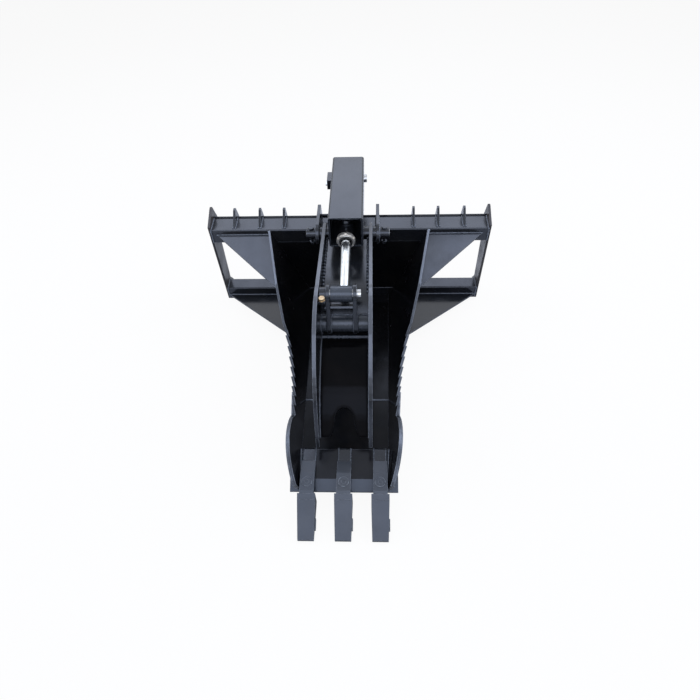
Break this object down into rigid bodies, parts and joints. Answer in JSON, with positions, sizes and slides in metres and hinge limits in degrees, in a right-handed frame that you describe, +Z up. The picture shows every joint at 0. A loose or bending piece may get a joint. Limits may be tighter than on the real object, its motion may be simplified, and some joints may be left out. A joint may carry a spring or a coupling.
{
  "type": "skid steer stump bucket with clamp arm",
  "caption": "Long narrow stump bucket with flared saw-edged walls, pinned teeth on a beveled edge, a hydraulic clamp arm on a guarded cylinder and a skid steer coupler frame.",
  "frame": {"origin": "centre of the bounding box's footprint, on the ground plane under the coupler's foot and the tooth tips", "axes": "+Y from the teeth to the machine, +X to the right of someone facing the bucket's mouth from the teeth side, +Z up"},
  "size_m": [1.155, 1.3604, 0.5956],
  "materials": {
    "black_paint": "gloss black powder coat",
    "chrome_rod": "hard chrome, polished",
    "bare_steel": "machined bare steel",
    "yellow_zinc": "yellow zinc plate"
  },
  "bodies": {
    "bucket": {"coupler_top_rail": "black_paint", "coupler_hook_lip": "black_paint", "coupler_bottom_rail": "black_paint", "coupler_latch_flange": "black_paint", "coupler_side_left": "black_paint", "coupler_side_right": "black_paint", "hook_fins": "black_paint", "bucket_back": "black_paint", "bucket_belly": "black_paint", "bucket_wall_left": "black_paint", "bucket_wall_right": "black_paint", "wing_gusset_upper_left": "black_paint", "wing_gusset_upper_right": "black_paint", "wing_gusset_lower_left": "black_paint", "wing_gusset_lower_right": "black_paint", "cutting_edge": "black_paint", "side_cutter_left": "black_paint", "side_cutter_right": "black_paint", "tooth_shank_left": "black_paint", "tooth_shank_middle": "black_paint", "tooth_shank_right": "black_paint", "tooth_left": "black_paint", "tooth_middle": "black_paint", "tooth_right": "black_paint", "tooth_pins": "black_paint", "pivot_ear_left": "black_paint", "pivot_ear_right": "black_paint", "pivot_boss_left": "black_paint", "pivot_boss_right": "black_paint", "pivot_pin": "bare_steel", "pivot_bolts": "black_paint", "pivot_nuts": "black_paint", "mast_base_plate": "black_paint", "mast_lug_left": "black_paint", "mast_lug_right": "black_paint", "mast_tie_bar": "black_paint"},
    "arm": {"arm_plate_left": "black_paint", "arm_plate_right": "black_paint", "arm_pivot_tube": "black_paint", "arm_throat_skin": "black_paint", "arm_front_skin": "black_paint", "arm_cross_tube": "black_paint", "clevis_lug_left": "black_paint", "clevis_lug_right": "black_paint", "clevis_tie_plate": "black_paint", "clevis_pin": "bare_steel", "clevis_flag": "black_paint", "clevis_bolt": "yellow_zinc", "flag_spacer": "black_paint"},
    "cylinder": {"guard_tube": "black_paint", "cylinder_barrel": "black_paint", "cylinder_base_eye": "black_paint", "gland_nut": "bare_steel", "port_plugs": "bare_steel", "base_pin": "bare_steel", "base_pin_flag": "black_paint", "base_flag_bolt": "bare_steel"},
    "rod": {"piston_rod": "chrome_rod", "piston": "bare_steel", "rod_end_tube": "black_paint"}
  },
  "joints": [
    {"name": "arm_hinge", "type": "hinge", "parent": "bucket", "child": "arm", "pos_m": [0, 0.40327, 0.42191], "axis": [-1, 0, 0], "range_deg": [0, 40]},
    {"name": "barrel_hinge", "type": "hinge", "parent": "bucket", "child": "cylinder", "pos_m": [0, 0.62178, 0.52983], "axis": [-1, 0, 0], "range_deg": [0, 28]},
    {"name": "rod_hinge", "type": "hinge", "parent": "arm", "child": "rod", "pos_m": [0, -0.01583, 0.48694], "axis": [-1, 0, 0], "range_deg": [-14, 0]}
  ],
  "couplings": [
    {"joint": "barrel_hinge", "follows": "arm_hinge", "ratio": 0.666},
    {"joint": "rod_hinge", "follows": "arm_hinge", "ratio": -0.334}
  ]
}
